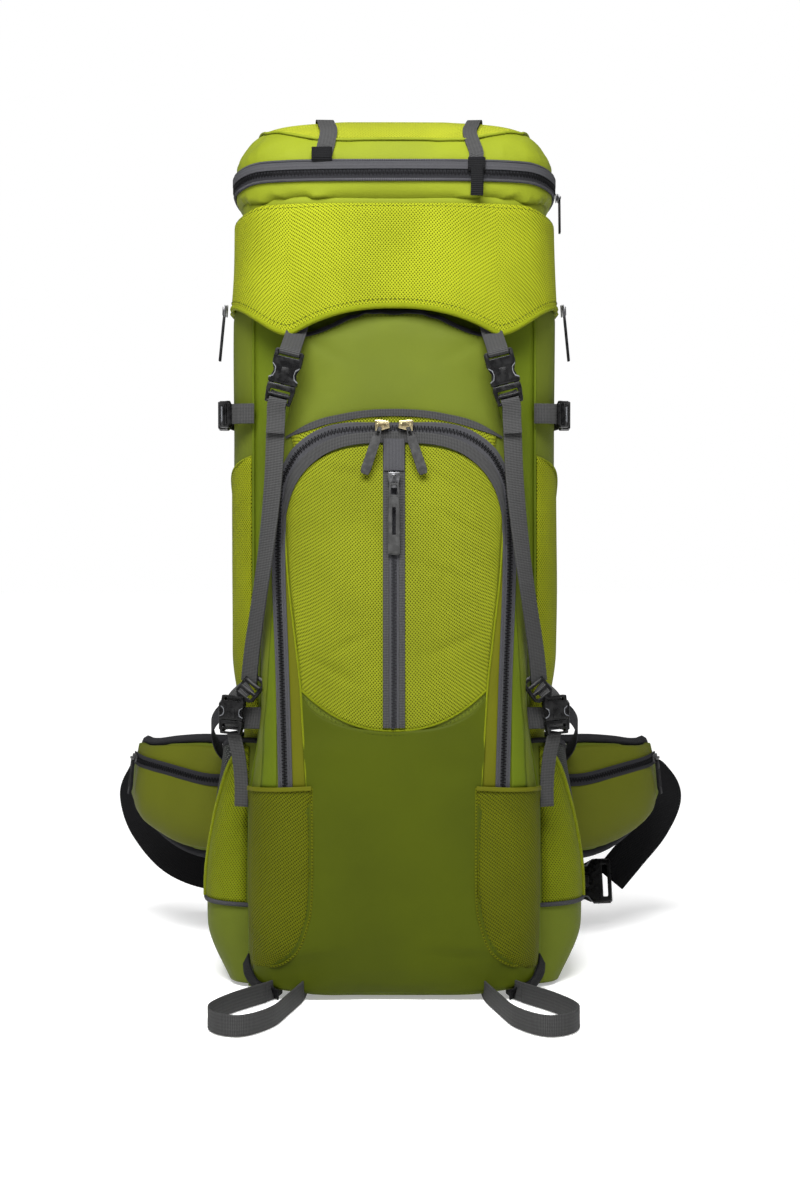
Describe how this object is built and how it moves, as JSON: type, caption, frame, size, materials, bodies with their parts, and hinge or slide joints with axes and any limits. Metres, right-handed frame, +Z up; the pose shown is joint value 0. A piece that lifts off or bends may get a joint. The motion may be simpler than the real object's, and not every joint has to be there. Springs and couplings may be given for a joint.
{
  "type": "hiking backpack",
  "caption": "Tall top-loading expedition backpack with a hinged lid and flap, zipped front pocket, side pockets, compression straps, padded harness and hip belt.",
  "frame": {"origin": "centre of the base, on the floor that the pack stands on", "axes": "+Z up, front pocket towards -Y, harness and wearer towards +Y, +X to the right as seen from the front"},
  "size_m": [0.6603, 0.5923, 0.852],
  "materials": {
    "green_nylon": "plain-weave coated nylon",
    "lime_mesh": "dimpled lime mesh fabric",
    "grey_webbing": "ribbed polyester webbing",
    "black_webbing": "ribbed black webbing",
    "black_plastic": "moulded acetal with a soft sheen",
    "zip_tape": "woven zip tape with a coil",
    "zip_metal": "polished zinc",
    "pull_rubber": "moulded rubber",
    "dark_mesh": "padded air mesh",
    "frame_plastic": "plain sheet",
    "stay_aluminium": "satin"
  },
  "bodies": {
    "root": {"main_right_panel": "green_nylon", "main_rear_panel": "green_nylon", "main_left_panel": "green_nylon", "main_front_panel": "green_nylon", "base_panel": "green_nylon", "collar": "green_nylon", "cord_lock": "black_plastic", "front_pocket": "green_nylon", "front_zip_tape": "zip_tape", "centre_zip_tape": "zip_tape", "left_side_pocket": "lime_mesh", "right_side_pocket": "lime_mesh", "left_long_strap": "grey_webbing", "right_long_strap": "grey_webbing", "left_upper_side_strap": "grey_webbing", "left_upper_side_buckle_housing": "black_plastic", "left_lower_side_strap": "grey_webbing", "left_lower_side_buckle_housing": "black_plastic", "right_upper_side_strap": "grey_webbing", "right_upper_side_buckle_housing": "black_plastic", "right_lower_side_strap": "grey_webbing", "right_lower_side_buckle_housing": "black_plastic", "frame_sheet": "frame_plastic", "frame_stay": "stay_aluminium", "upper_back_pad": "dark_mesh", "lumbar_pad": "dark_mesh", "left_shoulder_webbing": "grey_webbing", "right_shoulder_webbing": "grey_webbing", "left_hip_strap": "black_webbing", "right_hip_strap": "black_webbing", "hip_buckle_housing": "black_plastic"},
    "lid": {"lid_pouch": "green_nylon", "lid_skirt": "lime_mesh", "lid_zip_tape": "zip_tape", "left_lid_webbing": "grey_webbing", "right_lid_webbing": "grey_webbing", "left_lid_buckle_housing": "black_plastic", "right_lid_buckle_housing": "black_plastic"},
    "lid_zip_slider": {"lid_zip_slider": "black_plastic"},
    "left_lid_insert": {"left_lid_buckle_insert": "black_plastic"},
    "right_lid_insert": {"right_lid_buckle_insert": "black_plastic"},
    "left_upper_side_insert": {"left_upper_side_buckle_insert": "black_plastic"},
    "left_lower_side_insert": {"left_lower_side_buckle_insert": "black_plastic"},
    "right_upper_side_insert": {"right_upper_side_buckle_insert": "black_plastic"},
    "right_lower_side_insert": {"right_lower_side_buckle_insert": "black_plastic"},
    "hip_insert": {"hip_buckle_insert": "black_plastic"},
    "left_front_slider": {"left_front_zip_slider": "zip_metal"},
    "right_front_slider": {"right_front_zip_slider": "zip_metal"},
    "left_front_pull": {"left_front_zip_pull": "pull_rubber"},
    "right_front_pull": {"right_front_zip_pull": "pull_rubber"},
    "centre_slider": {"centre_zip_slider": "pull_rubber"},
    "centre_pull": {"centre_zip_pull": "pull_rubber"},
    "harness": {"left_shoulder_pad": "dark_mesh", "right_shoulder_pad": "dark_mesh", "sternum_strap": "grey_webbing"},
    "left_hip_wing": {"left_hip_wing": "green_nylon"},
    "right_hip_wing": {"right_hip_wing": "green_nylon"},
    "haul_handle": {"haul_handle": "grey_webbing"},
    "left_gear_loop": {"left_gear_loop": "grey_webbing"},
    "right_gear_loop": {"right_gear_loop": "grey_webbing"}
  },
  "joints": [
    {"name": "lid_hinge", "type": "hinge", "parent": "root", "child": "lid", "pos_m": [0, 0.104, 0.76], "axis": [-1, 0, 0], "range_deg": [0, 110]},
    {"name": "lid_zip_slide", "type": "slide", "parent": "lid", "child": "lid_zip_slider", "axis": [0, -1, 0], "range_m": [0, 0.08]},
    {"name": "left_lid_buckle_release", "type": "slide", "parent": "root", "child": "left_lid_insert", "axis": [-0.2425, 0, -0.9701], "range_m": [0, 0.028], "deforming": ["left_long_strap"]},
    {"name": "right_lid_buckle_release", "type": "slide", "parent": "root", "child": "right_lid_insert", "axis": [0.2425, 0, -0.9701], "range_m": [0, 0.028], "deforming": ["right_long_strap"]},
    {"name": "left_upper_side_buckle_release", "type": "slide", "parent": "root", "child": "left_upper_side_insert", "axis": [0, 1, 0], "range_m": [0, 0.025], "deforming": ["left_upper_side_strap"]},
    {"name": "left_lower_side_buckle_release", "type": "slide", "parent": "root", "child": "left_lower_side_insert", "axis": [0, 1, 0], "range_m": [0, 0.025], "deforming": ["left_lower_side_strap"]},
    {"name": "right_upper_side_buckle_release", "type": "slide", "parent": "root", "child": "right_upper_side_insert", "axis": [0, 1, 0], "range_m": [0, 0.025], "deforming": ["right_upper_side_strap"]},
    {"name": "right_lower_side_buckle_release", "type": "slide", "parent": "root", "child": "right_lower_side_insert", "axis": [0, 1, 0], "range_m": [0, 0.025], "deforming": ["right_lower_side_strap"]},
    {"name": "hip_buckle_release", "type": "slide", "parent": "root", "child": "hip_insert", "axis": [-0.9911, 0.1189, -0.0595], "range_m": [0, 0.045], "deforming": ["left_hip_strap"]},
    {"name": "left_front_zip_travel", "type": "hinge", "parent": "root", "child": "left_front_slider", "pos_m": [0, -0.1395, 0.389], "axis": [0, -0.9979, 0.0649], "range_deg": [0, 30]},
    {"name": "left_front_pull_swing", "type": "hinge", "parent": "left_front_slider", "child": "left_front_pull", "pos_m": [-0.013, -0.1368, 0.5438], "axis": [-1, 0, 0], "range_deg": [0, 80]},
    {"name": "right_front_zip_travel", "type": "hinge", "parent": "root", "child": "right_front_slider", "pos_m": [0, -0.1395, 0.389], "axis": [0, 0.9979, -0.0649], "range_deg": [0, 30]},
    {"name": "right_front_pull_swing", "type": "hinge", "parent": "right_front_slider", "child": "right_front_pull", "pos_m": [0.013, -0.1368, 0.5438], "axis": [-1, 0, 0], "range_deg": [0, 80]},
    {"name": "centre_zip_travel", "type": "slide", "parent": "root", "child": "centre_slider", "axis": [0, -0.0951, -0.9955], "range_m": [0, 0.21]},
    {"name": "centre_pull_swing", "type": "hinge", "parent": "centre_slider", "child": "centre_pull", "pos_m": [0, -0.1435, 0.489], "axis": [-1, 0, 0], "range_deg": [0, 80]},
    {"name": "harness_swing", "type": "hinge", "parent": "root", "child": "harness", "pos_m": [0, 0.11, 0.6], "axis": [1, 0, 0], "range_deg": [0, 25], "deforming": ["left_shoulder_webbing", "right_shoulder_webbing"]},
    {"name": "left_hip_wing_flex", "type": "hinge", "parent": "root", "child": "left_hip_wing", "pos_m": [-0.1, 0.128, 0.158], "axis": [0, 0, -1], "range_deg": [-12, 15], "stiffness_Nm_per_rad": 2, "deforming": ["left_hip_strap"]},
    {"name": "right_hip_wing_flex", "type": "hinge", "parent": "root", "child": "right_hip_wing", "pos_m": [0.1, 0.128, 0.158], "axis": [0, 0, 1], "range_deg": [-12, 15], "stiffness_Nm_per_rad": 2, "deforming": ["right_hip_strap"]},
    {"name": "haul_handle_swing", "type": "hinge", "parent": "root", "child": "haul_handle", "pos_m": [0, 0.108, 0.7], "axis": [1, 0, 0], "range_deg": [0, 90]},
    {"name": "left_gear_loop_lift", "type": "hinge", "parent": "root", "child": "left_gear_loop", "pos_m": [-0.105, -0.152, 0.0008], "axis": [-1, 0, 0], "range_deg": [0, 20]},
    {"name": "right_gear_loop_lift", "type": "hinge", "parent": "root", "child": "right_gear_loop", "pos_m": [0.105, -0.152, 0.0008], "axis": [-1, 0, 0], "range_deg": [0, 20]}
  ]
}
